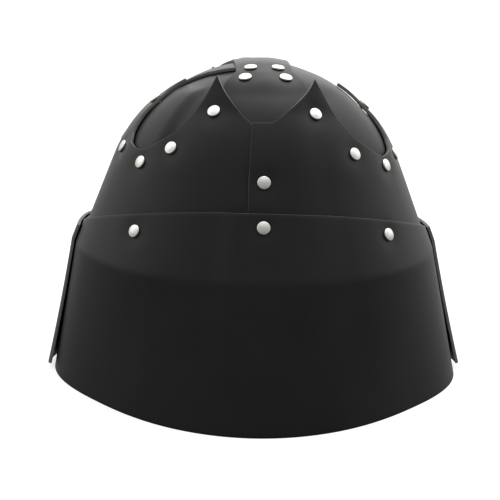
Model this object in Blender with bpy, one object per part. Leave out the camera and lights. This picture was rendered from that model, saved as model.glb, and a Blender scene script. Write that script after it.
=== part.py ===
# Barbute of riveted leather: three straps crossed over the crown, a pointed
# skull band, a flared neck guard and two cheek plates that leave a T opening.
# Metres, +Z up, face towards -Y, the hem on the plane Z = 0 below the crown.
import math

import bmesh
import bpy
from mathutils import Matrix, Vector

# Leather and the gap between two sheets that touch
LEATHER = 0.0022
GAP = 0.0003
LAYER = LEATHER + GAP

# The form that the sheets lie on: a dome that runs on into a cone
DOME_RADIUS = 0.095
DOME_CENTRE_HEIGHT = 0.1135
CONE_ANGLE = math.radians(21)
FRONT_STRETCH = 1.15
SIDE_STRETCH = 1.015
CROWN_LEAN = 0.0022
FULLNESS_MEAN = 0.00175
FULLNESS_SWING = 0.00225

# Skull band: reach is the length down the form from the crown
BAND_LOW_REACH = 0.1785
BAND_LEVEL = 2.14
VALLEY_REACH = 0.1050
PETAL_HEIGHT = 0.0555
PETAL_LIFT = 0.0016
PETAL_LIFT_AHEAD = 0.0009
PETAL_BACK_END = (math.radians(40), math.radians(60))
PETAL_FRONT_START = (math.radians(142), math.radians(152))
PETAL_SKEW = 0.0016
VALLEY_TURN = math.radians(2.7)
LAP_UNDER = math.radians(-7)
LAP_OVER = math.radians(6.5)
LAP_RAMP = math.radians(18)
LAP_MARGIN = math.radians(2)
BAND_CURVED_ROWS = 5

# Straps of the dome
STRAP_END_REACH = 0.1270
STRAP_TOP_HALF_WIDTH = 0.0170
STRAP_UNDER_HALF_WIDTH = 0.0190
WAIST_REACH = 0.0340
STACK_INNER_REACH = 0.0445
STACK_OUTER_REACH = 0.0595
MIDDLE_RISE = (-22, 14)
LOWEST_FALL = (6, 14)

# Neck guard
HEM_RADIUS = 0.1364
HEM_DRAWN_IN = 0.0102
HEM_DRAWN_AZIMUTH = math.radians(50)
HEM_DRAWN_END = math.radians(92)
HEM_LEAN = 0.0020
GUARD_TURN = math.radians(4)
GUARD_TOP_BACK = 0.1316
GUARD_TOP_SIDE = 0.1000
GUARD_SIDE_AZIMUTH = math.radians(95)
GUARD_END_AZIMUTH = math.radians(113.5)

# Cheek plates
CHEEK_REAR_AZIMUTH = math.radians(88)
CHEEK_TOP = 0.1015
CHEEK_REAR_LIFT = 0.0040
CHEEK_REAR_FLARE = 0.0028
CHEEK_REAR_TURN = math.radians(18)
CHEEK_SPREAD = 1.05
CHEEK_CLEARANCE = 0.0008
EYE_SILL = 0.0620
EYE_CORNER_AZIMUTH = math.radians(130)
EYE_CORNER_HALF_TURN = math.radians(3)
NOSE_SLOT_HALF_WIDTH = 0.0160
NOSE_SLOT_SPREAD = 0.0050
NOSE_TOP_RADIUS = 0.1220

# Rivets
CAP_RADIUS = 0.00425
CAP_HEIGHT = 0.0022
SHANK_RADIUS = 0.00125
TAIL_RADIUS = 0.0035
TAIL_HEIGHT = 0.0010
TAIL_GAP = 0.0008
HOLE_RADIUS = 0.00190
RIVET_SIDES = 9
HOLE_SIDES = 5

JOIN_ANGLE = math.pi / 2 - CONE_ANGLE
JOIN_REACH = DOME_RADIUS * JOIN_ANGLE
JOIN_RADIUS = DOME_RADIUS * math.sin(JOIN_ANGLE)
JOIN_HEIGHT = DOME_CENTRE_HEIGHT + DOME_RADIUS * math.cos(JOIN_ANGLE)
CROWN_HEIGHT = DOME_CENTRE_HEIGHT + DOME_RADIUS

# Upper edge of the skull band for a quarter turn from the back, mirrored to the other three.
# Columns: azimuth in degrees, height above the side valley as a share of PETAL_HEIGHT
BAND_EDGE = (
    (0, 0.450), (4.5, 0.450), (12, 0.590), (19, 0.725), (26.5, 0.862), (34, 0.990),
    (35, 0.700), (36.8, 0.520), (43, 0.270), (49.5, 0.140), (54.5, 0.045), (60, 0.000),
    (65, 0.010), (71, 0.045), (76, 0.160), (79.5, 0.340), (84, 0.625), (90, 0.990))
PETAL_TIP_AZIMUTH = math.radians(34)

# Half angle that a strap covers beyond its waist.
# Columns: reach as a share of STRAP_END_REACH, top strap, an under strap's side below
# the top strap, middle strap over the lowest behind and in front, lowest strap under the
# middle, in degrees
STRAP_SPREAD = (
    (0.270, 30, 44, 38, 31, 33), (0.335, 30, 50, 43, 27, 36), (0.400, 30, 44, 45, 25, 40),
    (0.460, 31, 38, 45, 24, 44), (0.560, 33.5, 38, 43, 24, 46), (0.680, 34, 38, 42, 25, 46),
    (0.790, 34, 38, 42, 25, 46), (0.885, 34, 38, 42, 25, 46), (1.000, 34, 38, 42, 25, 46))


def smooth(value, low, high):
    share = min(1.0, max(0.0, (value - low) / (high - low)))
    return share * share * (3 - 2 * share)


def mix(first, second, share):
    return first + (second - first) * share


def wrapped(azimuth):
    return (azimuth + math.pi) % (2 * math.pi) - math.pi


def form(east, north):
    """A point of the form, from flat crown coordinates that hold the reach and the azimuth."""
    reach = math.hypot(east, north)
    azimuth = math.atan2(east, north)
    if reach <= JOIN_REACH:
        angle = reach / DOME_RADIUS
        fullness = FULLNESS_MEAN + FULLNESS_SWING * math.cos(2 * azimuth)
        radius = DOME_RADIUS + fullness * math.sin(math.pi * reach / JOIN_REACH) ** 2
        out = radius * math.sin(angle)
        height = DOME_CENTRE_HEIGHT + radius * math.cos(angle)
    else:
        out = JOIN_RADIUS + (reach - JOIN_REACH) * math.sin(CONE_ANGLE)
        height = JOIN_HEIGHT - (reach - JOIN_REACH) * math.cos(CONE_ANGLE)
    x = out * math.sin(azimuth)
    x *= SIDE_STRETCH
    y = out * math.cos(azimuth)
    if y < 0:
        y *= FRONT_STRETCH
    if height > JOIN_HEIGHT:
        x -= CROWN_LEAN * ((height - JOIN_HEIGHT) / (CROWN_HEIGHT - JOIN_HEIGHT)) ** 2
    return Vector((x, y, height))


def form_normal(azimuth, reach):
    step = 0.0005
    east = reach * math.sin(azimuth)
    north = reach * math.cos(azimuth)
    across = form(east + step, north) - form(east - step, north)
    along = form(east, north + step) - form(east, north - step)
    return across.cross(along).normalized()


def on_form(azimuth, reach, lift):
    point = form(reach * math.sin(azimuth), reach * math.cos(azimuth))
    return point + form_normal(azimuth, reach) * lift


def reach_at(height, lift):
    """Reach on the cone at which a sheet with this lift stands at the height."""
    return JOIN_REACH + (JOIN_HEIGHT + lift * math.sin(CONE_ANGLE) - height) / math.cos(CONE_ANGLE)


def inner_lift(level):
    return level * LAYER - LEATHER


def stack(reach):
    """1 where the three straps lie on each other at the crown, 0 beyond."""
    return 1 - smooth(reach, STACK_INNER_REACH, STACK_OUTER_REACH)


def top_level(azimuth, reach):
    return 1 + stack(reach)


def side_of(azimuth, centre):
    """Angle from the nearer end of a strap whose two ends lie at the centre and opposite."""
    turn = wrapped(azimuth - centre)
    if abs(turn) > math.pi / 2:
        turn = wrapped(turn - math.pi)
    return turn


def middle_level(azimuth, reach):
    turn = math.degrees(side_of(-azimuth, math.radians(60)))
    return mix(smooth(turn, *MIDDLE_RISE), 1, stack(reach))


def lowest_level(azimuth, reach):
    turn = abs(math.degrees(side_of(azimuth, math.radians(60))))
    return (1 - smooth(turn, *LOWEST_FALL)) * (1 - stack(reach))


def band_level(azimuth, reach):
    """Azimuth runs on through a whole turn, so the lapped end counts from a turn up."""
    lap = smooth(azimuth, 2 * math.pi + LAP_UNDER - LAP_RAMP, 2 * math.pi + LAP_UNDER)
    tip = 1 - smooth(reach, VALLEY_REACH - PETAL_HEIGHT, VALLEY_REACH - PETAL_HEIGHT * 0.4)
    turn = abs(wrapped(azimuth))
    behind = 1 - smooth(turn, *PETAL_BACK_END)
    over_top_strap = max(behind, smooth(turn, *PETAL_FRONT_START))
    lift = tip * mix(PETAL_LIFT_AHEAD, PETAL_LIFT, behind)
    return BAND_LEVEL + stack(reach) * over_top_strap + lap + lift / LAYER


def skewed(azimuth, reach):
    return reach - PETAL_SKEW * math.sin(azimuth)


def edge_reach(share, azimuth):
    return skewed(azimuth, VALLEY_REACH - PETAL_HEIGHT * share)


def band_outline():
    """Azimuth and share of the band's upper edge, from the under end to the upper end."""
    quarter = [(math.radians(row[0]), row[1]) for row in BAND_EDGE]
    half = quarter + [(math.pi - azimuth, share) for azimuth, share in reversed(quarter[:-1])]
    turn = half + [(2 * math.pi - azimuth, share) for azimuth, share in reversed(half[1:-1])]
    turned = []
    for azimuth, share in turn:
        nearness = 1 - abs(wrapped(azimuth)) / PETAL_TIP_AZIMUTH
        turned.append((azimuth + VALLEY_TURN * max(0.0, nearness), share))
    start = (LAP_UNDER, turned[0][1])
    end = (2 * math.pi + LAP_OVER, turned[1][1])
    return [start] + turned + [end]


def loft(name, columns, rows, place, flat_hem=False):
    """A closed sheet: place gives an inner point and its normal for a column and a row."""
    mesh = bmesh.new()
    bmesh.ops.create_grid(mesh, x_segments=columns - 1, y_segments=rows - 1, size=0.5)
    column_of = mesh.verts.layers.int.new("column")
    row_of = mesh.verts.layers.int.new("row")
    for vertex in mesh.verts:
        vertex[column_of] = round((vertex.co.x + 0.5) * (columns - 1))
        vertex[row_of] = round((vertex.co.y + 0.5) * (rows - 1))
    inner = list(mesh.verts)
    grown = bmesh.ops.extrude_face_region(mesh, geom=list(mesh.faces))
    outer = [item for item in grown["geom"] if isinstance(item, bmesh.types.BMVert)]
    for vertex in inner:
        vertex.co = place(vertex[column_of], vertex[row_of])[0]
    for vertex in outer:
        point, normal = place(vertex[column_of], vertex[row_of])
        vertex.co = point + normal * LEATHER
        if flat_hem and vertex[row_of] == 0:
            above = place(vertex[column_of], 1)
            slope = above[0] - point
            vertex.co -= slope * ((vertex.co.z - point.z) / slope.z)
    bmesh.ops.recalc_face_normals(mesh, faces=list(mesh.faces))
    if mesh.calc_volume(signed=True) < 0:
        bmesh.ops.reverse_faces(mesh, faces=list(mesh.faces))
    return finish(name, mesh, leather)


def finish(name, mesh, material):
    data = bpy.data.meshes.new(name)
    mesh.to_mesh(data)
    mesh.free()
    data.materials.append(material)
    data.shade_smooth()
    data.set_sharp_from_angle(angle=math.radians(35))
    thing = bpy.data.objects.new(name, data)
    bpy.context.scene.collection.objects.link(thing)
    return thing


def principled(name, colour, roughness, metallic):
    material = bpy.data.materials.new(name)
    material.use_nodes = True
    shader = material.node_tree.nodes["Principled BSDF"]
    shader.inputs["Base Color"].default_value = (*colour, 1)
    shader.inputs["Roughness"].default_value = roughness
    shader.inputs["Metallic"].default_value = metallic
    return material


def skull_band():
    outline = band_outline()
    straight = (BAND_LOW_REACH, JOIN_REACH)

    def place(column, row):
        azimuth, share = outline[column]
        top = edge_reach(share, azimuth)
        if row < len(straight):
            reach = straight[row]
        else:
            reach = mix(straight[-1], top, (row - len(straight) + 1) / BAND_CURVED_ROWS)
        lift = inner_lift(band_level(azimuth, reach))
        return on_form(azimuth, reach, lift), form_normal(azimuth, reach)

    return loft("skull_band", len(outline), len(straight) + BAND_CURVED_ROWS, place)


def strap(name, centre, half_width, left_columns, right_columns, level):
    """A strap over the crown; its two ends widen into panels of a sixth of the dome.

    It is laid out from right to left, so its centre's azimuth is taken with the sign turned.
    """
    reaches = [row[0] * STRAP_END_REACH for row in STRAP_SPREAD]
    crown_rows = (-0.72, -0.36, 0, 0.36, 0.72)
    across = (-1, -0.82, -0.58, -0.38, -0.15, 0.15, 0.38, 0.58, 0.82, 1)
    end_rows = len(reaches)
    rows = 2 * end_rows + len(crown_rows)

    def end_place(end, index, share):
        spread = STRAP_SPREAD[index]
        sideways = share if end > 0 else -share
        columns = right_columns if sideways > 0 else left_columns
        column = columns[0] if end > 0 else columns[1]
        turn = math.radians(spread[column]) * sideways
        azimuth = centre + turn + (0 if end > 0 else math.pi)
        return azimuth, reaches[index]

    def place(column, row):
        share = across[column]
        if row < end_rows:
            azimuth, reach = end_place(-1, end_rows - 1 - row, share)
        elif row >= end_rows + len(crown_rows):
            azimuth, reach = end_place(1, row - end_rows - len(crown_rows), share)
        else:
            ahead = crown_rows[row - end_rows] * WAIST_REACH
            aside = share * half_width
            azimuth = centre + math.atan2(aside, ahead)
            reach = math.hypot(ahead, aside)
        azimuth = -azimuth
        lift = inner_lift(level(azimuth, reach))
        return on_form(azimuth, reach, lift), form_normal(azimuth, reach)

    return loft(name, len(across), rows, place)


def hem_radius(azimuth):
    """The hem is drawn in between the back and the sides."""
    turn = abs(wrapped(azimuth - GUARD_TURN))
    drawn = smooth(turn, 0, HEM_DRAWN_AZIMUTH) * (1 - smooth(turn, HEM_DRAWN_AZIMUTH, HEM_DRAWN_END))
    return HEM_RADIUS - HEM_DRAWN_IN * drawn


def skirt(azimuth, height, lift, spread):
    """A wall that hangs straight from the band's lower edge and follows the band above it."""
    low = on_form(azimuth, BAND_LOW_REACH, lift)
    if height > low.z:
        return on_form(azimuth, reach_at(height, lift), lift)
    out = hem_radius(azimuth) + spread
    hem = Vector((out * math.sin(azimuth) - HEM_LEAN, out * math.cos(azimuth), 0))
    if hem.y < 0:
        hem.y *= FRONT_STRETCH
    return hem.lerp(low, height / low.z)


def with_normal(surface, azimuth, height):
    step = 0.0004
    turn = 0.003
    point = surface(azimuth, height)
    around = surface(azimuth + turn, height) - surface(azimuth - turn, height)
    upward = surface(azimuth, height + step) - surface(azimuth, height - step)
    return point, upward.cross(around).normalized()


def guard_top(azimuth):
    turn = min(abs(wrapped(azimuth - GUARD_TURN)), GUARD_SIDE_AZIMUTH)
    drop = (1 - math.cos(turn)) / (1 - math.cos(GUARD_SIDE_AZIMUTH))
    return mix(GUARD_TOP_BACK, GUARD_TOP_SIDE, drop)


def band_outer_lift(azimuth):
    """Lift that clears the band, and its lapped ends behind."""
    turn = wrapped(azimuth)
    rise = smooth(turn, LAP_UNDER - LAP_RAMP - LAP_MARGIN, LAP_UNDER - LAP_MARGIN)
    fall = smooth(turn, LAP_OVER + LAP_MARGIN, LAP_OVER + LAP_MARGIN + LAP_RAMP / 2)
    return inner_lift(BAND_LEVEL + rise * (1 - fall)) + LEATHER


def guard_surface(azimuth, height):
    return skirt(azimuth, height, band_outer_lift(azimuth) + GAP, 0)


def guard_columns():
    degrees = [*range(-107, -29, 7), -26, -21, -17, -13, -9, -4, 1, 5, 9, 13, 18,
               *range(23, 108, 7)]
    return [-GUARD_END_AZIMUTH] + [math.radians(value) for value in degrees] + [GUARD_END_AZIMUTH]


def neck_guard():
    columns = guard_columns()
    edge = on_form(0, BAND_LOW_REACH, inner_lift(BAND_LEVEL + 1)).z
    below = (0, 0.5, 1)
    above = (0.5, 1)

    def place(column, row):
        azimuth = columns[column]
        if row < len(below):
            lift = band_outer_lift(azimuth) + GAP
            height = below[row] * on_form(azimuth, BAND_LOW_REACH, lift).z
        else:
            height = mix(edge, guard_top(azimuth), above[row - len(below)])
        return with_normal(guard_surface, azimuth, height)

    return loft("neck_guard", len(columns), len(below) + len(above), place, flat_hem=True)


def over_guard(turn):
    """1 where a cheek plate lies over the neck guard, 0 further forward."""
    ahead = abs(turn) - GUARD_END_AZIMUTH
    return 1 - smooth(ahead, math.radians(0.5), math.radians(6))


def cheek_top(turn):
    fall = smooth(turn, EYE_CORNER_AZIMUTH - EYE_CORNER_HALF_TURN,
                  EYE_CORNER_AZIMUTH + EYE_CORNER_HALF_TURN)
    return mix(CHEEK_TOP, EYE_SILL, fall)


def cheek_bottom(turn):
    return CHEEK_REAR_LIFT * (1 - smooth(turn, CHEEK_REAR_AZIMUTH, CHEEK_REAR_AZIMUTH + CHEEK_REAR_TURN))


def cheek_surface(azimuth, height):
    turn = abs(azimuth)
    over = over_guard(turn)
    rear = 1 - smooth(turn, CHEEK_REAR_AZIMUTH, CHEEK_REAR_AZIMUTH + CHEEK_REAR_TURN)
    flare = rear * CHEEK_REAR_FLARE * (1 - height / CHEEK_TOP)
    lift = band_outer_lift(azimuth) + GAP + over * LAYER + CHEEK_CLEARANCE
    return skirt(azimuth, height, lift, over * LAYER * CHEEK_SPREAD + flare)


def cheek_columns():
    degrees = [88, 91, 95, 100, 105, 110, 115, 118, 121, 124, 126, 127.5, 128.5, 129.5,
               130.5, 131.5, 132.5, 134, 138, 144, 151, 158, 164, 169]
    return [math.radians(value) for value in degrees]


def cheek_plate(name, side):
    turns = cheek_columns()
    count = len(turns) + 1
    knee = on_form(math.pi / 2, BAND_LOW_REACH, inner_lift(BAND_LEVEL + 1)).z / CHEEK_TOP
    shares = (0, 0.5 * knee, knee, 1)

    def place(column, row):
        share = shares[row]
        if column < len(turns):
            turn = turns[column]
        else:
            height = share * EYE_SILL
            slot = NOSE_SLOT_HALF_WIDTH + NOSE_SLOT_SPREAD * (1 - share)
            turn = math.pi - math.asin(slot / mix(HEM_RADIUS, NOSE_TOP_RADIUS, height / EYE_SILL))
        height = mix(cheek_bottom(turn), cheek_top(turn), share)
        return with_normal(cheek_surface, side * turn, height)

    return loft(name, count, len(shares), place, flat_hem=True)


def rivet_mesh(length):
    """A domed cap above the outer face at Z = 0, a shank, and a flat tail inside."""
    tail = -length - TAIL_GAP
    profile = (
        (0, GAP + CAP_HEIGHT), (0.62 * CAP_RADIUS, GAP + 0.78 * CAP_HEIGHT), (CAP_RADIUS, GAP),
        (SHANK_RADIUS, GAP), (SHANK_RADIUS, tail), (TAIL_RADIUS, tail), (0, tail - TAIL_HEIGHT))
    mesh = bmesh.new()
    points = [mesh.verts.new((radius, 0, height)) for radius, height in profile]
    edges = [mesh.edges.new(pair) for pair in zip(points, points[1:])]
    bmesh.ops.spin(mesh, geom=points + edges, cent=(0, 0, 0), axis=(0, 0, 1),
                   angle=2 * math.pi, steps=RIVET_SIDES, use_merge=True)
    bmesh.ops.remove_doubles(mesh, verts=list(mesh.verts), dist=0.00001)
    bmesh.ops.recalc_face_normals(mesh, faces=list(mesh.faces))
    return mesh


def rivet(name, outer, inner, axis):
    length = (outer - inner).dot(axis)
    thing = finish(name, rivet_mesh(length), steel)
    turn = axis.to_track_quat("Z", "Y").to_matrix().to_4x4()
    thing.matrix_world = Matrix.Translation(outer) @ turn
    holes.append((outer, axis, length))
    return thing


def sheet_normal(azimuth, reach, level):
    """Normal of a sheet whose level changes over the form."""
    step = 0.0005
    turn = step / reach

    def place(around, along):
        return on_form(around, along, inner_lift(level(around, along)))

    across = place(azimuth + turn, reach) - place(azimuth - turn, reach)
    along = place(azimuth, reach - step) - place(azimuth, reach + step)
    return along.cross(across).normalized()


def dome_rivet(name, azimuth, reach, outer_level, inner_level):
    """A rivet from the sheet with the outer level to the one with the inner level."""
    over = sheet_normal(azimuth, reach, outer_level)
    under = sheet_normal(azimuth, reach, inner_level)
    axis = (over + under).normalized()
    inner = on_form(azimuth, reach, inner_lift(inner_level(azimuth, reach)))
    outer = on_form(azimuth, reach, inner_lift(outer_level(azimuth, reach)) + LEATHER)
    return rivet(name, outer, inner, axis)


def skirt_rivet(name, azimuth, height, layers, inner_level):
    """A rivet through the band and the plates over it; layers counts from the band's inside."""
    lift = inner_lift(inner_level)
    reach = reach_at(height, lift)
    outer = lift + layers
    axis = form_normal(azimuth, reach)
    return rivet(name, on_form(azimuth, reach, outer), on_form(azimuth, reach, lift), axis)


def level_under(azimuth, reach):
    """Level of the lowest strap or panel at a place of the dome below the crown."""
    low = math.degrees(side_of(-azimuth, math.radians(-60)))
    if -46 < low < 36:
        return lowest_level(azimuth, reach)
    turn = math.degrees(side_of(-azimuth, math.radians(60)))
    if -38 < turn < 35.5:
        return middle_level(azimuth, reach)
    return top_level(azimuth, reach)


def unwound_band_level(azimuth, reach):
    return band_level(azimuth % (2 * math.pi), reach)


# Rivets of the skull band for each quarter: left and right behind, left and right in front.
# Each has an azimuth in degrees from the back or the front, and the height above the side
# valley as a share of PETAL_HEIGHT
BAND_RIVETS = {
    "petal": ((26.4, 0.567), (24.8, 0.574), (28.5, 0.582), (28.5, 0.582)),
    "flank": ((41.6, 0.093), (39.8, 0.087), (42, 0.070), (42, 0.070)),
    "valley": ((56.0, -0.130), (59.2, -0.105), (60, -0.140), (60, -0.140)),
    "side": ((78.5, -0.050), (78.5, -0.050), (79, -0.015), (79, -0.015))}
SIDE_PETAL_RIVET_SHARE = 0.582


def band_rivets():
    for quarter, (sign, front) in enumerate(((1, 0), (-1, 0), (1, 1), (-1, 1))):
        for name, places in BAND_RIVETS.items():
            degrees, share = places[quarter]
            turn = math.radians(180 - degrees if front else degrees)
            azimuth = sign * turn
            reach = edge_reach(share, azimuth)
            label = f"rivet_{name}_{quarter + 1}"
            dome_rivet(label, azimuth, reach, unwound_band_level, level_under)
    for index, sign in enumerate((1, -1)):
        azimuth = sign * math.pi / 2
        reach = edge_reach(SIDE_PETAL_RIVET_SHARE, azimuth)
        dome_rivet(f"rivet_side_petal_{index + 1}", azimuth, reach, unwound_band_level, level_under)


# Rivets that hold the top strap to the two below it, at the back and the front of the crown.
# Columns: distance from the crown's middle along the strap, and half the distance apart
CROWN_RIVETS = ((0.0255, 0.0083), (0.0405, 0.0121))


def crown_rivets():
    number = 0
    for end in (1, -1):
        for ahead, aside in CROWN_RIVETS:
            for side in (1, -1):
                number += 1
                azimuth = math.atan2(side * aside, end * ahead)
                reach = math.hypot(ahead, aside)
                under = lowest_level if side * end > 0 else middle_level
                dome_rivet(f"rivet_crown_{number}", azimuth, reach, top_level, under)


# Rivets at the skirt
SEAM_RIVET_AZIMUTH = math.radians(1.1)
SEAM_RIVET_HEIGHT = 0.1470
NECK_CENTRE_AZIMUTH = math.radians(1.3)
NECK_CENTRE_HEIGHT = 0.1207
NECK_LEFT_AZIMUTH = math.radians(46.4)
NECK_LEFT_HEIGHT = 0.1118
NECK_RIGHT_AZIMUTH = math.radians(-45.0)
NECK_RIGHT_HEIGHT = 0.1111
CHEEK_RIVET_TURNS = (math.radians(109.5), math.radians(122.5))
CHEEK_RIVET_HEIGHT = 0.0945


def skirt_rivets():
    reach = reach_at(SEAM_RIVET_HEIGHT, inner_lift(BAND_LEVEL))
    axis = form_normal(SEAM_RIVET_AZIMUTH, reach)
    inner = on_form(SEAM_RIVET_AZIMUTH, reach, inner_lift(1))
    rivet("rivet_seam", inner + axis * (BAND_LEVEL * LAYER + LEATHER), inner, axis)
    layers = 2 * LAYER + LEATHER
    skirt_rivet("rivet_neck_centre", NECK_CENTRE_AZIMUTH, NECK_CENTRE_HEIGHT, layers, BAND_LEVEL)
    layers = LAYER + LEATHER
    skirt_rivet("rivet_neck_left", NECK_LEFT_AZIMUTH, NECK_LEFT_HEIGHT, layers, BAND_LEVEL)
    skirt_rivet("rivet_neck_right", NECK_RIGHT_AZIMUTH, NECK_RIGHT_HEIGHT, layers, BAND_LEVEL)
    rear, front = CHEEK_RIVET_TURNS
    for label, side in (("left", 1), ("right", -1)):
        layers = 2 * LAYER + CHEEK_CLEARANCE + LEATHER
        skirt_rivet(f"rivet_cheek_{label}_1", side * rear, CHEEK_RIVET_HEIGHT, layers, BAND_LEVEL)
        layers = LAYER + CHEEK_CLEARANCE + LEATHER
        skirt_rivet(f"rivet_cheek_{label}_2", side * front, CHEEK_RIVET_HEIGHT, layers, BAND_LEVEL)


def hole_cutter():
    mesh = bmesh.new()
    for outer, axis, length in holes:
        turn = axis.to_track_quat("Z", "Y").to_matrix().to_4x4()
        middle = Matrix.Translation(outer - axis * (length / 2)) @ turn
        bmesh.ops.create_cone(mesh, cap_ends=True, segments=HOLE_SIDES, radius1=HOLE_RADIUS,
                              radius2=HOLE_RADIUS, depth=length + 2 * CAP_HEIGHT, matrix=middle)
    cutter = finish("rivet_hole_cutter", mesh, leather)
    cutter.hide_render = True
    cutter.display_type = "WIRE"
    return cutter


for old in list(bpy.data.objects):
    bpy.data.objects.remove(old)

leather = principled("black_leather", (0.012, 0.012, 0.013), 0.45, 0.0)
steel = principled("nickelled_rivet", (0.72, 0.71, 0.69), 0.18, 1.0)
holes = []

sheets = [
    skull_band(),
    strap("strap_lowest", math.radians(-60), STRAP_UNDER_HALF_WIDTH, (5, 5), (2, 2), lowest_level),
    strap("strap_middle", math.radians(60), STRAP_UNDER_HALF_WIDTH, (2, 2), (3, 4), middle_level),
    strap("strap_top", 0, STRAP_TOP_HALF_WIDTH, (1, 1), (1, 1), top_level),
    neck_guard(),
    cheek_plate("cheek_plate_left", 1),
    cheek_plate("cheek_plate_right", -1),
]
band_rivets()
crown_rivets()
skirt_rivets()

cutter = hole_cutter()
for sheet in sheets:
    cut = sheet.modifiers.new("rivet holes", "BOOLEAN")
    cut.operation = "DIFFERENCE"
    cut.object = cutter

# The origin goes to the middle of the footprint
points = [vertex.co for sheet in sheets for vertex in sheet.data.vertices]
widths = [point.x for point in points]
depths = [point.y for point in points]
for thing in bpy.data.objects:
    thing.location.x -= (min(widths) + max(widths)) / 2
    thing.location.y -= (min(depths) + max(depths)) / 2
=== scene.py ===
import math

import bmesh
import bpy
import numpy as np
from mathutils import Matrix, Vector


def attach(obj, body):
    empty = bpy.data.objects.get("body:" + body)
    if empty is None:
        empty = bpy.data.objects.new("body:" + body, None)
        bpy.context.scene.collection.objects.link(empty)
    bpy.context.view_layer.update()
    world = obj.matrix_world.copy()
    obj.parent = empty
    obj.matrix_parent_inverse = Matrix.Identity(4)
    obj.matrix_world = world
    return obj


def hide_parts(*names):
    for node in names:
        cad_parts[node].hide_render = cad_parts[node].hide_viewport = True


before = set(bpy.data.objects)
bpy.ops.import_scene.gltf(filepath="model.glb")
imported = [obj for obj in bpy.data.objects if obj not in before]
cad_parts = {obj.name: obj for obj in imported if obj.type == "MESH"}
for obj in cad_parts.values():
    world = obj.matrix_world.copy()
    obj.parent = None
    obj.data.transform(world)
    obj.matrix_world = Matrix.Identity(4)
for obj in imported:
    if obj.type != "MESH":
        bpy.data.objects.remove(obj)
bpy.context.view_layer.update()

mm = 0.001

# Black leather barbute: sheets cut flat, formed over one shape and riveted.
# The shape is a dome that runs on into a cone, round behind and longer in front.
shape = {
    "leather": 2.2 * mm, "gap": 0.3 * mm,
    "domeRadius": 95 * mm, "domeCentre": 113.5 * mm, "coneAngle": math.radians(21),
    "frontStretch": 1.15, "sideStretch": 1.015, "crownLean": 2.2 * mm,
    "fullness": 1.75 * mm, "fullnessSwing": 2.25 * mm, "axis": (2.15 * mm, 9.35 * mm),
    "stackEnd": (44.5 * mm, 59.5 * mm),  # out to here the three straps lie on each other
}
layer = shape["leather"] + shape["gap"]
joinReach = shape["domeRadius"] * (math.pi / 2 - shape["coneAngle"])
joinRadius = shape["domeRadius"] * math.cos(shape["coneAngle"])
joinHeight = shape["domeCentre"] + shape["domeRadius"] * math.sin(shape["coneAngle"])
crownHeight = shape["domeCentre"] + shape["domeRadius"]
axisX, axisY = shape["axis"]
inside = Vector((axisX, axisY, 60 * mm))  # a point in the hollow, to tell outwards from inwards


def ease(value, low, high):
    share = min(1.0, max(0.0, (value - low) / (high - low)))
    return share * share * (3 - 2 * share)


def mix(first, second, share):
    return first + (second - first) * share


def toward(azimuth, elevation):
    # azimuth 0 is the front, -Y, and 180 the back
    return Vector((math.sin(azimuth) * math.cos(elevation), -math.cos(azimuth) * math.cos(elevation),
                   math.sin(elevation)))


def wrapped(azimuth):
    return (azimuth + math.pi) % (2 * math.pi) - math.pi


def formPoint(east, north):
    # flat crown coordinates: their length is the reach down from the crown
    reach = math.hypot(east, north)
    azimuth = math.atan2(east, north)
    if reach <= joinReach:
        angle = reach / shape["domeRadius"]
        full = shape["fullness"] + shape["fullnessSwing"] * math.cos(2 * azimuth)
        radius = shape["domeRadius"] + full * math.sin(math.pi * reach / joinReach) ** 2
        out = radius * math.sin(angle)
        height = shape["domeCentre"] + radius * math.cos(angle)
    else:
        out = joinRadius + (reach - joinReach) * math.sin(shape["coneAngle"])
        height = joinHeight - (reach - joinReach) * math.cos(shape["coneAngle"])
    x = out * math.sin(azimuth) * shape["sideStretch"]
    y = out * math.cos(azimuth)
    if y < 0:
        y *= shape["frontStretch"]
    if height > joinHeight:
        x -= shape["crownLean"] * ((height - joinHeight) / (crownHeight - joinHeight)) ** 2
    return Vector((x + axisX, y + axisY, height))


def onForm(azimuth, reach, lift):
    step = 0.5 * mm
    east = reach * math.sin(azimuth)
    north = reach * math.cos(azimuth)
    across = formPoint(east + step, north) - formPoint(east - step, north)
    along = formPoint(east, north + step) - formPoint(east, north - step)
    return formPoint(east, north) + across.cross(along).normalized() * lift


def reachAt(height, lift):
    cone = shape["coneAngle"]
    return joinReach + (joinHeight + lift * math.sin(cone) - height) / math.cos(cone)


def outerLift(level):
    return level * layer


def stacked(reach):
    return 1 - ease(reach, *shape["stackEnd"])


def sideOf(azimuth, centre):
    turn = wrapped(azimuth - centre)
    if abs(turn) > math.pi / 2:
        turn = wrapped(turn - math.pi)
    return turn


# Rivets stand where the frame has them: a line through each CAD rivet
def rivetLine(name):
    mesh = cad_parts[name].data
    points = np.array([vertex.co[:] for vertex in mesh.vertices])
    middle = points.mean(axis=0)
    spread, directions = np.linalg.eigh(np.cov((points - middle).T))
    odd = 2 if spread[2] - spread[1] > spread[1] - spread[0] else 0
    axis = directions[:, odd]
    if axis @ (middle - np.array(inside)) < 0:
        axis = -axis
    along = (points - middle) @ axis
    return middle, axis, along.min(), along.max()


rivetNames = sorted(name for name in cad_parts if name.startswith("rivet_"))
rivetLines = {name: rivetLine(name) for name in rivetNames}
print("rivet lines", len(rivetLines))

dimple = {"depth": 1.1 * mm, "radius": 8.5 * mm, "reach": 30 * mm}


def pressed(points):
    # leather is drawn in round each rivet; every layer takes the same dent
    points = points.copy()
    moved = np.zeros_like(points)
    for middle, axis, low, high in rivetLines.values():
        offset = points - middle
        along = offset @ axis
        aside = np.linalg.norm(offset - np.outer(along, axis), axis=1)
        near = (np.abs(along) < dimple["reach"]).astype(float)
        dent = dimple["depth"] * np.exp(-(aside / dimple["radius"]) ** 2) * near
        moved -= np.outer(dent, axis)
    return points + moved


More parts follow.
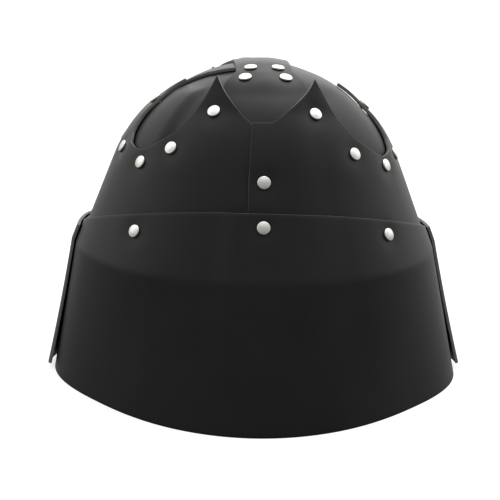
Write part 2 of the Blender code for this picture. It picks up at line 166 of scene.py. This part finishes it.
softEdge = {"width": 0.3 * mm, "segments": 2, "sharperThan": math.radians(55)}


def leatherSheet(name, node, columns, rows, place):
    # a flat grid is laid on the outer side of the form, then given its thickness inwards
    mesh = bmesh.new()
    bmesh.ops.create_grid(mesh, x_segments=columns - 1, y_segments=rows - 1, size=0.5)
    spots = []
    for vertex in mesh.verts:
        column = round((vertex.co.x + 0.5) * (columns - 1))
        row = round((vertex.co.y + 0.5) * (rows - 1))
        spots.append(place(column, row))
    for vertex, spot in zip(mesh.verts, pressed(np.array([spot[:] for spot in spots]))):
        vertex.co = spot
    mesh.normal_update()
    outward = sum((face.calc_center_median() - inside).dot(face.normal) for face in mesh.faces)
    if outward < 0:
        bmesh.ops.reverse_faces(mesh, faces=list(mesh.faces))
    data = bpy.data.meshes.new(name)
    mesh.to_mesh(data)
    mesh.free()
    data.materials.append(blackLeather)
    # the second material goes on the cut edges; its lighter colour is partly a painted highlight
    data.materials.append(cutEdgePaintedHighlight)
    data.shade_smooth()
    sheet = bpy.data.objects.new(name, data)
    bpy.context.scene.collection.objects.link(sheet)
    wall = sheet.modifiers.new("thickness", "SOLIDIFY")
    wall.thickness = shape["leather"]
    wall.offset = -1
    wall.use_even_offset = True
    wall.material_offset_rim = 1
    soft = sheet.modifiers.new("softened edge", "BEVEL")
    soft.width = softEdge["width"]
    soft.segments = softEdge["segments"]
    soft.limit_method = "ANGLE"
    soft.angle_limit = softEdge["sharperThan"]
    soft.use_clamp_overlap = False
    soft.harden_normals = False
    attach(sheet, "root")
    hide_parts(node)
    print("sheet", name, columns * rows)


def toLinear(hexColour):
    parts = [int(hexColour[place:place + 2], 16) / 255 for place in (1, 3, 5)]
    linear = [part / 12.92 if part <= 0.04045 else ((part + 0.055) / 1.055) ** 2.4 for part in parts]
    return (*linear, 1)


def addNode(tree, kind, settings=None, inputs=None, links=None):
    node = tree.nodes.new(kind)
    for key, value in (settings or {}).items():
        setattr(node, key, value)
    for key, value in (inputs or {}).items():
        node.inputs[key].default_value = value
    for key, socket in (links or {}).items():
        tree.links.new(socket, node.inputs[key])
    return node


def newMaterial(name, settings):
    material = bpy.data.materials.new(name)
    material.use_nodes = True
    tree = material.node_tree
    shader = tree.nodes["Principled BSDF"]
    for key, value in settings.items():
        shader.inputs[key].default_value = value
    return material, tree, shader


# Vegetable tanned cowhide, dyed black and waxed: a deep black that takes a broad satin shine
leatherLook = {
    "dark": "#0d0d0e", "light": "#171718", "specular": 0.25,
    "roughness": (0.38, 0.48), "grain": 1.1 * mm, "cloud": 34 * mm,
    "grainHeight": 0.05 * mm, "grainStrength": 0.5, "poreSmoothness": 0.6,
}


def makeLeather(name, look):
    material, tree, shader = newMaterial(name, {"Specular IOR Level": look["specular"], "Metallic": 0.0})
    spot = addNode(tree, "ShaderNodeTexCoord")
    cloud = addNode(tree, "ShaderNodeTexNoise", inputs={"Scale": 1 / look["cloud"], "Detail": 3.0},
                    links={"Vector": spot.outputs["Object"]})
    tone = addNode(tree, "ShaderNodeMix", {"data_type": "RGBA"},
                   {"A": toLinear(look["dark"]), "B": toLinear(look["light"])},
                   {"Factor": cloud.outputs["Fac"]})
    tree.links.new(tone.outputs["Result"], shader.inputs["Base Color"])
    pores = addNode(tree, "ShaderNodeTexVoronoi", {"feature": "SMOOTH_F1"},
                    {"Scale": 1 / look["grain"], "Smoothness": look["poreSmoothness"]},
                    {"Vector": spot.outputs["Object"]})
    # half as wide as the pores
    fine = addNode(tree, "ShaderNodeTexNoise", inputs={"Scale": 2 / look["grain"], "Detail": 4.0},
                   links={"Vector": spot.outputs["Object"]})
    both = addNode(tree, "ShaderNodeMath", {"operation": "ADD"},
                   links={0: pores.outputs["Distance"], 1: fine.outputs["Fac"]})
    low, high = look["roughness"]
    shine = addNode(tree, "ShaderNodeMapRange", inputs={"To Min": low, "To Max": high},
                    links={"Value": cloud.outputs["Fac"]})
    tree.links.new(shine.outputs["Result"], shader.inputs["Roughness"])
    bump = addNode(tree, "ShaderNodeBump",
                   inputs={"Strength": look["grainStrength"], "Distance": look["grainHeight"]},
                   links={"Height": both.outputs["Value"]})
    tree.links.new(bump.outputs["Normal"], shader.inputs["Normal"])
    return material


# The knife's cut through the hide, a little lighter and matt: partly the fibres' own lighter tone,
# partly a painted highlight standing in for the light the thin cut edges catch
edgeLookPaintedHighlight = {"dark": "#4b4a48", "light": "#6e6c69", "roughness": 0.6, "fibre": 0.8 * mm}


def makeCutEdgePaintedHighlight(name, look):
    material, tree, shader = newMaterial(name, {"Roughness": look["roughness"], "Metallic": 0.0})
    spot = addNode(tree, "ShaderNodeTexCoord")
    fibre = addNode(tree, "ShaderNodeTexNoise", inputs={"Scale": 1 / look["fibre"], "Detail": 4.0},
                    links={"Vector": spot.outputs["Object"]})
    tone = addNode(tree, "ShaderNodeMix", {"data_type": "RGBA"},
                   {"A": toLinear(look["dark"]), "B": toLinear(look["light"])},
                   {"Factor": fibre.outputs["Fac"]})
    tree.links.new(tone.outputs["Result"], shader.inputs["Base Color"])
    return material


# Nickel plate on a pressed steel cap: bright and smooth, with faint marks from setting
nickelLook = {"bright": "#efeeea", "dull": "#d8d6d1", "roughness": (0.22, 0.34), "mark": 1.2 * mm}


def makeNickel(name, look):
    material, tree, shader = newMaterial(name, {"Metallic": 1.0})
    spot = addNode(tree, "ShaderNodeTexCoord")
    mark = addNode(tree, "ShaderNodeTexNoise", inputs={"Scale": 1 / look["mark"], "Detail": 3.0},
                   links={"Vector": spot.outputs["Object"]})
    tone = addNode(tree, "ShaderNodeMix", {"data_type": "RGBA"},
                   {"A": toLinear(look["bright"]), "B": toLinear(look["dull"])},
                   {"Factor": mark.outputs["Fac"]})
    tree.links.new(tone.outputs["Result"], shader.inputs["Base Color"])
    low, high = look["roughness"]
    shine = addNode(tree, "ShaderNodeMapRange", inputs={"To Min": low, "To Max": high},
                    links={"Value": mark.outputs["Fac"]})
    tree.links.new(shine.outputs["Result"], shader.inputs["Roughness"])
    return material


blackLeather = makeLeather("blackBridleLeather", leatherLook)
cutEdgePaintedHighlight = makeCutEdgePaintedHighlight("cutLeatherEdge", edgeLookPaintedHighlight)
nickel = makeNickel("nickelPlatedRivet", nickelLook)
print("materials ready")

# Skull band. Edge columns: azimuth in degrees from the back, height of the edge
# above the side valley as a share of petalHeight; mirrored round the helmet.
band = {
    "level": 2.14, "lowReach": 178.5 * mm, "valleyReach": 105 * mm, "petalHeight": 55.5 * mm,
    "backPetals": (math.radians(40), math.radians(60)),
    "frontPetals": (math.radians(142), math.radians(152)),
    # the free tips behind curl away in this direction, above this reach
    "curlReach": 75 * mm, "curl": 0.092, "curlPower": 1.5,
    "curlToward": (math.radians(176), math.radians(13.6)),
    "petalLift": 1.6 * mm, "petalLiftAhead": -0.4 * mm, "liftShare": 0.6,
    "skew": 1.6 * mm, "tipAzimuth": math.radians(34), "valleyTurn": math.radians(2.7),
    "lapUnder": math.radians(-7), "lapOver": math.radians(6.5), "lapRamp": math.radians(18),
    "columnStep": 2 * mm, "rows": 60,
    "roundness": 0.9,  # the dome's girth at the valleys, as a share of a flat disc's
    "edge": ((0, 0.450), (4.5, 0.450), (12, 0.590), (19, 0.725), (26.5, 0.862), (34, 0.990),
             (35, 0.700), (36.8, 0.520), (43, 0.270), (49.5, 0.140), (54.5, 0.045), (60, 0.000),
             (65, 0.010), (71, 0.045), (76, 0.160), (79.5, 0.340), (84, 0.625), (90, 0.990)),
}


def bandLevel(azimuth, reach):
    lapStart = 2 * math.pi + band["lapUnder"]
    lap = ease(azimuth, lapStart - band["lapRamp"], lapStart)
    tipReach = band["valleyReach"] - band["petalHeight"]
    tip = 1 - ease(reach, tipReach, tipReach + band["liftShare"] * band["petalHeight"])
    turn = abs(wrapped(azimuth))
    behind = 1 - ease(turn, *band["backPetals"])
    overTopStrap = max(behind, ease(turn, *band["frontPetals"]))
    lift = tip * mix(band["petalLiftAhead"], band["petalLift"], behind)
    return band["level"] + stacked(reach) * overTopStrap + lap + lift / layer


def bandColumns():
    quarter = [(math.radians(row[0]), row[1]) for row in band["edge"]]
    half = quarter + [(math.pi - turn, share) for turn, share in reversed(quarter[:-1])]
    whole = half + [(2 * math.pi - turn, share) for turn, share in reversed(half[1:-1])]
    turned = []
    for turn, share in whole:
        near = max(0.0, 1 - abs(wrapped(turn)) / band["tipAzimuth"])
        turned.append((turn + band["valleyTurn"] * near, share))
    points = [(band["lapUnder"], turned[0][1])] + turned
    points.append((2 * math.pi + band["lapOver"], turned[1][1]))
    # columns are spread by length along the edge, so the steep sides of the petals get enough
    columns = [points[0]]
    for first, second in zip(points, points[1:]):
        across = (second[0] - first[0]) * band["valleyReach"] * band["roundness"]
        length = math.hypot(across, (second[1] - first[1]) * band["petalHeight"])
        count = max(1, round(length / band["columnStep"]))
        for number in range(1, count + 1):
            share = number / count
            columns.append((mix(first[0], second[0], share), mix(first[1], second[1], share)))
    return columns


def makeBand():
    columns = bandColumns()

    def place(column, row):
        edge, share = columns[column]
        top = band["valleyReach"] - band["petalHeight"] * share - band["skew"] * math.sin(edge)
        up = row / (band["rows"] - 1)
        low = mix(columns[0][0], columns[-1][0], column / (len(columns) - 1))
        azimuth = mix(low, edge, up)  # evenly spread at the lower edge
        reach = mix(band["lowReach"], top, up)
        behind = 1 - ease(abs(wrapped(azimuth)), *band["backPetals"])
        free = max(0.0, band["curlReach"] - reach) * behind
        curl = band["curl"] * (free / mm) ** band["curlPower"] * mm
        spot = onForm(azimuth, reach, outerLift(bandLevel(azimuth, reach)))
        return spot + toward(*band["curlToward"]) * curl

    leatherSheet("skullBand", "skull_band", len(columns), band["rows"], place)


# Straps. Spread columns: reach as a share of endReach, then half angles in degrees of the
# top strap, an under strap beside the top one, the middle over the lowest behind and in
# front, the lowest under it
straps = {
    "endReach": 127 * mm, "waist": 34 * mm, "topHalfWidth": 17 * mm, "underHalfWidth": 19 * mm,
    "across": 44, "rowStep": 2.6 * mm, "crownShare": 0.72, "underTurn": math.radians(60),
    # where each under strap gives way to the next, in degrees from its middle line
    "middleRise": (-22, 14), "lowestFall": (6, 14), "lowestFallLeft": (24, 35),
    "spread": ((0.270, 30, 44, 38, 30, 33), (0.335, 30, 50, 43, 24, 36), (0.400, 30, 44, 45, 20, 40),
               (0.460, 31, 38, 45, 18, 44), (0.560, 33.5, 38, 43, 18, 46), (0.680, 34, 38, 42, 19, 46),
               (1.000, 34, 38, 42, 20, 46)),
}


def topLevel(azimuth, reach):
    return 1 + stacked(reach)


def middleLevel(azimuth, reach):
    turn = math.degrees(sideOf(-azimuth, straps["underTurn"]))
    return mix(ease(turn, *straps["middleRise"]), 1, stacked(reach))


def lowestLevel(azimuth, reach):
    # behind on the left its panel stays even, and falls away only near the side petal
    left = 0 < wrapped(azimuth - straps["underTurn"]) < math.pi / 2
    fall = straps["lowestFallLeft"] if left else straps["lowestFall"]
    turn = math.degrees(sideOf(azimuth, straps["underTurn"]))
    return (1 - ease(abs(turn), *fall)) * (1 - stacked(reach))


def makeStrap(name, node, centre, halfWidth, leftColumns, rightColumns, level):
    end = straps["endReach"]
    reaches = [row[0] * end for row in straps["spread"]]
    endCount = round((end - reaches[0]) / straps["rowStep"])
    endRows = [mix(reaches[0], end, number / endCount) for number in range(endCount + 1)]
    crownEnd = straps["crownShare"] * straps["waist"]
    crownCount = round(2 * crownEnd / straps["rowStep"])
    crownRows = [mix(-crownEnd, crownEnd, number / crownCount) for number in range(crownCount + 1)]
    rows = [(-1, reach) for reach in reversed(endRows)] + [(0, ahead) for ahead in crownRows]
    rows += [(1, reach) for reach in endRows]

    def place(column, row):
        share = 2 * column / (straps["across"] - 1) - 1
        side, value = rows[row]
        if side == 0:
            azimuth = centre + math.atan2(share * halfWidth, value)
            reach = math.hypot(share * halfWidth, value)
        else:
            sideways = share * side
            pair = rightColumns if sideways > 0 else leftColumns
            spread = [line[pair[0] if side > 0 else pair[1]] for line in straps["spread"]]
            turn = math.radians(float(np.interp(value, reaches, spread))) * sideways
            azimuth = centre + turn + (0 if side > 0 else math.pi)
            reach = value
        azimuth = -azimuth  # laid out from right to left
        return onForm(azimuth, reach, outerLift(level(azimuth, reach)))

    leatherSheet(name, node, straps["across"], len(rows), place)


# Neck guard and cheek plates hang straight from the band's lower edge
guard = {
    "hemRadius": 136.4 * mm, "drawnIn": 10.2 * mm, "drawnAzimuth": math.radians(50),
    "drawnEnd": math.radians(92), "lean": 2 * mm, "turn": math.radians(4),
    "topBack": 131.6 * mm, "topSide": 100 * mm, "sideAzimuth": math.radians(95),
    "endAzimuth": math.radians(113.5), "columnStep": math.radians(1),
    "rows": 60, "lapMargin": math.radians(2), "lapFall": math.radians(9), "slope": math.radians(15),
}
cheek = {
    "rearAzimuth": math.radians(88), "top": 101.5 * mm, "rearLift": 4 * mm, "flare": 2.8 * mm,
    "rearTurn": math.radians(18), "spread": 1.05, "clearance": 0.8 * mm,
    "overGuard": (math.radians(0.5), math.radians(6)),  # steps down past the guard's end
    "eyeSill": 62 * mm, "eyeCorner": math.radians(130), "eyeHalfTurn": math.radians(3),
    "noseTop": 122 * mm, "slotHalf": 16 * mm, "slotSpread": 5 * mm,
    "columns": 96, "rows": 50,
}


def skirtPoint(azimuth, height, lift, spread):
    low = onForm(azimuth, band["lowReach"], lift)
    if height > low.z:
        return onForm(azimuth, reachAt(height, lift), lift)
    turn = abs(wrapped(azimuth - guard["turn"]))
    drawn = ease(turn, 0, guard["drawnAzimuth"])
    drawn *= 1 - ease(turn, guard["drawnAzimuth"], guard["drawnEnd"])
    out = guard["hemRadius"] - guard["drawnIn"] * drawn + spread
    out += shape["leather"] / math.cos(guard["slope"])  # hemRadius is the inner side's
    hem = Vector((out * math.sin(azimuth) - guard["lean"], out * math.cos(azimuth), 0))
    if hem.y < 0:
        hem.y *= shape["frontStretch"]
    hem += Vector((axisX, axisY, 0))
    return hem.lerp(low, height / low.z)


def overBand(azimuth):
    turn = wrapped(azimuth)
    lapEnd = band["lapUnder"] - guard["lapMargin"]
    rise = ease(turn, lapEnd - band["lapRamp"], lapEnd)
    fallStart = band["lapOver"] + guard["lapMargin"]
    fall = ease(turn, fallStart, fallStart + guard["lapFall"])
    return outerLift(band["level"] + rise * (1 - fall))


def guardTop(azimuth):
    turn = min(abs(wrapped(azimuth - guard["turn"])), guard["sideAzimuth"])
    drop = (1 - math.cos(turn)) / (1 - math.cos(guard["sideAzimuth"]))
    return mix(guard["topBack"], guard["topSide"], drop)


def makeGuard():
    count = round(2 * guard["endAzimuth"] / guard["columnStep"])

    def place(column, row):
        azimuth = mix(-guard["endAzimuth"], guard["endAzimuth"], column / count)
        height = guardTop(azimuth) * row / (guard["rows"] - 1)
        return skirtPoint(azimuth, height, overBand(azimuth) + layer, 0)

    leatherSheet("neckGuard", "neck_guard", count + 1, guard["rows"], place)


def makeCheek(name, node, side):
    def place(column, row):
        share = row / (cheek["rows"] - 1)
        slotTurn = cheek["slotHalf"] + cheek["slotSpread"] * (1 - share)
        slot = math.pi - math.asin(slotTurn / mix(guard["hemRadius"], cheek["noseTop"], share))
        turn = mix(cheek["rearAzimuth"], slot, column / (cheek["columns"] - 1))
        corner = cheek["eyeCorner"]
        fall = ease(turn, corner - cheek["eyeHalfTurn"], corner + cheek["eyeHalfTurn"])
        top = mix(cheek["top"], cheek["eyeSill"], fall)
        rear = 1 - ease(turn, cheek["rearAzimuth"], cheek["rearAzimuth"] + cheek["rearTurn"])
        bottom = cheek["rearLift"] * rear
        height = mix(bottom, top, share)
        ahead = turn - guard["endAzimuth"]
        over = 1 - ease(ahead, *cheek["overGuard"])
        flare = rear * cheek["flare"] * (1 - height / cheek["top"])
        azimuth = side * turn
        lift = overBand(azimuth) + layer + over * layer + cheek["clearance"]
        return skirtPoint(azimuth, height, lift, over * layer * cheek["spread"] + flare)

    leatherSheet(name, node, cheek["columns"], cheek["rows"], place)


# Double-cap rivet: a domed cap with a rolled lip, a shank, and a flatter cap inside
cap = {
    "radius": 4.25 * mm, "height": 2.0 * mm, "crown": 3.5 * mm, "crownDrop": 0.55 * mm,
    "roundDrop": 0.9 * mm, "roundTurn": math.radians(80), "arcPoints": 7, "steps": 40,
    "lip": 0.45 * mm, "shank": 1.25 * mm, "tailRadius": 3.5 * mm, "tailHeight": 1.0 * mm,
    "sink": 0.25 * mm, "sharperThan": math.radians(50),
    # shares of radius and lip, then of tailRadius and tailHeight
    "lipCurve": ((1, 0.55), (0.985, 0.2), (0.93, 0)),
    "tailCurve": ((0.95, 0), (1, 0.25), (0.8, 0.8), (0, 1)),
}


def makeRivet(node):
    middle, axis, low, high = rivetLines[node]
    top = high - dimple["depth"] - cap["sink"]
    tail = low + cap["tailHeight"] - dimple["depth"]
    seat = top - cap["height"]
    mesh = bmesh.new()
    profile = []
    for number in range(cap["arcPoints"]):
        share = number / (cap["arcPoints"] - 1)
        profile.append((cap["crown"] * share, top - cap["crownDrop"] * share * share))
    for number in range(1, cap["arcPoints"]):
        turn = cap["roundTurn"] * number / (cap["arcPoints"] - 1)
        out = mix(cap["crown"], cap["radius"], math.sin(turn))
        profile.append((out, top - cap["crownDrop"] - cap["roundDrop"] * (1 - math.cos(turn))))
    profile += [(cap["radius"] * out, seat + cap["lip"] * up) for out, up in cap["lipCurve"]]
    profile += [(cap["shank"], seat), (cap["shank"], tail)]
    profile += [(cap["tailRadius"] * out, tail - cap["tailHeight"] * down)
                for out, down in cap["tailCurve"]]
    points = [mesh.verts.new((out, 0, height)) for out, height in profile]
    edges = [mesh.edges.new(pair) for pair in zip(points, points[1:])]
    bmesh.ops.spin(mesh, geom=points + edges, cent=(0, 0, 0), axis=(0, 0, 1),
                   angle=2 * math.pi, steps=cap["steps"], use_merge=True)
    bmesh.ops.remove_doubles(mesh, verts=list(mesh.verts), dist=0.00001)
    bmesh.ops.recalc_face_normals(mesh, faces=list(mesh.faces))
    turn = Vector(axis).to_track_quat("Z", "Y").to_matrix().to_4x4()
    bmesh.ops.transform(mesh, matrix=Matrix.Translation(Vector(middle)) @ turn, verts=list(mesh.verts))
    words = node.split("_")
    name = words[0] + "".join(word.capitalize() for word in words[1:])
    data = bpy.data.meshes.new(name)
    mesh.to_mesh(data)
    mesh.free()
    data.materials.append(nickel)
    data.shade_smooth()
    data.set_sharp_from_angle(angle=cap["sharperThan"])
    piece = bpy.data.objects.new(name, data)
    bpy.context.scene.collection.objects.link(piece)
    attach(piece, "root")
    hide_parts(node)


makeBand()
underHalf = straps["underHalfWidth"]
underTurn = straps["underTurn"]
makeStrap("strapLowest", "strap_lowest", -underTurn, underHalf, (5, 5), (2, 2), lowestLevel)
makeStrap("strapMiddle", "strap_middle", underTurn, underHalf, (2, 2), (3, 4), middleLevel)
makeStrap("strapTop", "strap_top", 0, straps["topHalfWidth"], (1, 1), (1, 1), topLevel)
makeGuard()
makeCheek("cheekPlateLeft", "cheek_plate_left", 1)
makeCheek("cheekPlateRight", "cheek_plate_right", -1)
for rivetName in rivetNames:
    makeRivet(rivetName)
print("pieces made")

# Camera as in the photograph: from behind, a little above, long lens
view = {
    "azimuth": math.radians(176), "elevation": math.radians(13.6), "roll": math.radians(1.25),
    "distance": 0.96, "focalPixels": 1404, "imagePixels": 500, "sensor": 36,
    "targetHeight": 83.3 * mm, "targetAside": 2.8 * mm,
}


def placeCamera():
    aim = toward(view["azimuth"], view["elevation"])
    right = (-aim).cross(Vector((0, 0, 1))).normalized()
    target = Vector((axisX, axisY, view["targetHeight"])) - right * view["targetAside"]
    lens = bpy.data.cameras.new("photoCamera")
    lens.sensor_width = view["sensor"]
    lens.lens = view["focalPixels"] / view["imagePixels"] * view["sensor"]
    camera = bpy.data.objects.new("photoCamera", lens)
    camera.rotation_mode = "QUATERNION"
    camera.location = target + aim * view["distance"]
    looking = (-aim).to_track_quat("-Z", "Y")
    camera.rotation_quaternion = looking @ Matrix.Rotation(view["roll"], 3, "Z").to_quaternion()
    bpy.context.scene.collection.objects.link(camera)
    bpy.context.scene.camera = camera


# Pale floor that glows a little, as a lit table does, in a white tent that is dark on the
# camera's side: the black leather then shows its shape by what it mirrors
studio = {
    "floor": "#a9a9a8", "glow": "#fafaf9", "glowStrength": 0.74, "radius": 6.0,
    # the tent goes from low to high between these heights of a direction
    "seen": "#fbfbfa", "low": 0.08, "high": 0.42, "rise": (-0.2, 0.15),
    # soft lights: azimuth, elevation, strength, how narrow
    "softLights": ((0, 90, 1.3, 10), (72, 32, 1.1, 12), (300, 36, 1.4, 10), (356, 12, 1.5, 14)),
}


def makeStage():
    mesh = bmesh.new()
    bmesh.ops.create_circle(mesh, cap_ends=True, segments=64, radius=studio["radius"])
    data = bpy.data.meshes.new("studioFloor")
    mesh.to_mesh(data)
    mesh.free()
    floor = bpy.data.objects.new("studioFloor", data)
    bpy.context.scene.collection.objects.link(floor)
    material, tree, shader = newMaterial("paleFloor", {"Roughness": 0.9})
    shader.inputs["Base Color"].default_value = toLinear(studio["floor"])
    shader.inputs["Emission Color"].default_value = toLinear(studio["glow"])
    shader.inputs["Emission Strength"].default_value = studio["glowStrength"]
    data.materials.append(material)
    floor.visible_glossy = False  # the leather mirrors the dark low part of the tent instead


def makeWorld():
    world = bpy.data.worlds.new("studioWorld")
    world.use_nodes = True
    tree = world.node_tree
    sky = tree.nodes["Background"]
    spot = addNode(tree, "ShaderNodeTexCoord")
    part = addNode(tree, "ShaderNodeSeparateXYZ", links={"Vector": spot.outputs["Generated"]})
    start, end = studio["rise"]
    base = addNode(tree, "ShaderNodeMapRange",
                   inputs={"From Min": start, "From Max": end, "To Min": studio["low"],
                           "To Max": studio["high"]},
                   links={"Value": part.outputs["Z"]})
    total = base.outputs["Result"]
    for azimuth, elevation, strength, narrow in studio["softLights"]:
        aim = toward(math.radians(azimuth), math.radians(elevation))
        facing = addNode(tree, "ShaderNodeVectorMath", {"operation": "DOT_PRODUCT"}, {1: aim},
                         {0: spot.outputs["Generated"]})
        share = addNode(tree, "ShaderNodeMapRange", inputs={"From Min": -1.0},
                        links={"Value": facing.outputs["Value"]})
        steep = addNode(tree, "ShaderNodeMath", {"operation": "POWER"}, {1: narrow},
                        {0: share.outputs["Result"]})
        lit = addNode(tree, "ShaderNodeMath", {"operation": "MULTIPLY_ADD"}, {1: strength},
                      {0: steep.outputs["Value"], 2: total})
        total = lit.outputs["Value"]
    ray = addNode(tree, "ShaderNodeLightPath")
    seen = addNode(tree, "ShaderNodeMix", {"data_type": "FLOAT"}, {"B": 1.0},
                   {"Factor": ray.outputs["Is Camera Ray"], "A": total})
    sky.inputs["Color"].default_value = toLinear(studio["seen"])
    tree.links.new(seen.outputs["Result"], sky.inputs["Strength"])
    bpy.context.scene.world = world


# Soft box, as azimuth, elevation, distance, width, height and power
lamps = {"topBox": (330, 70, 1.2, 0.9, 0.9, 4)}
lampTarget = Vector((axisX, axisY, 100 * mm))


def makeLights():
    for name, (azimuth, elevation, distance, width, height, power) in lamps.items():
        lamp = bpy.data.lights.new(name, "AREA")
        lamp.shape = "RECTANGLE"
        lamp.size = width
        lamp.size_y = height
        lamp.energy = power
        light = bpy.data.objects.new(name, lamp)
        aim = toward(math.radians(azimuth), math.radians(elevation))
        light.location = lampTarget + aim * distance
        light.rotation_euler = (-aim).to_track_quat("-Z", "Y").to_euler()
        bpy.context.scene.collection.objects.link(light)


placeCamera()
makeStage()
makeWorld()
makeLights()
bpy.context.scene.view_settings.view_transform = "Standard"
print("camera, stage and lights ready")
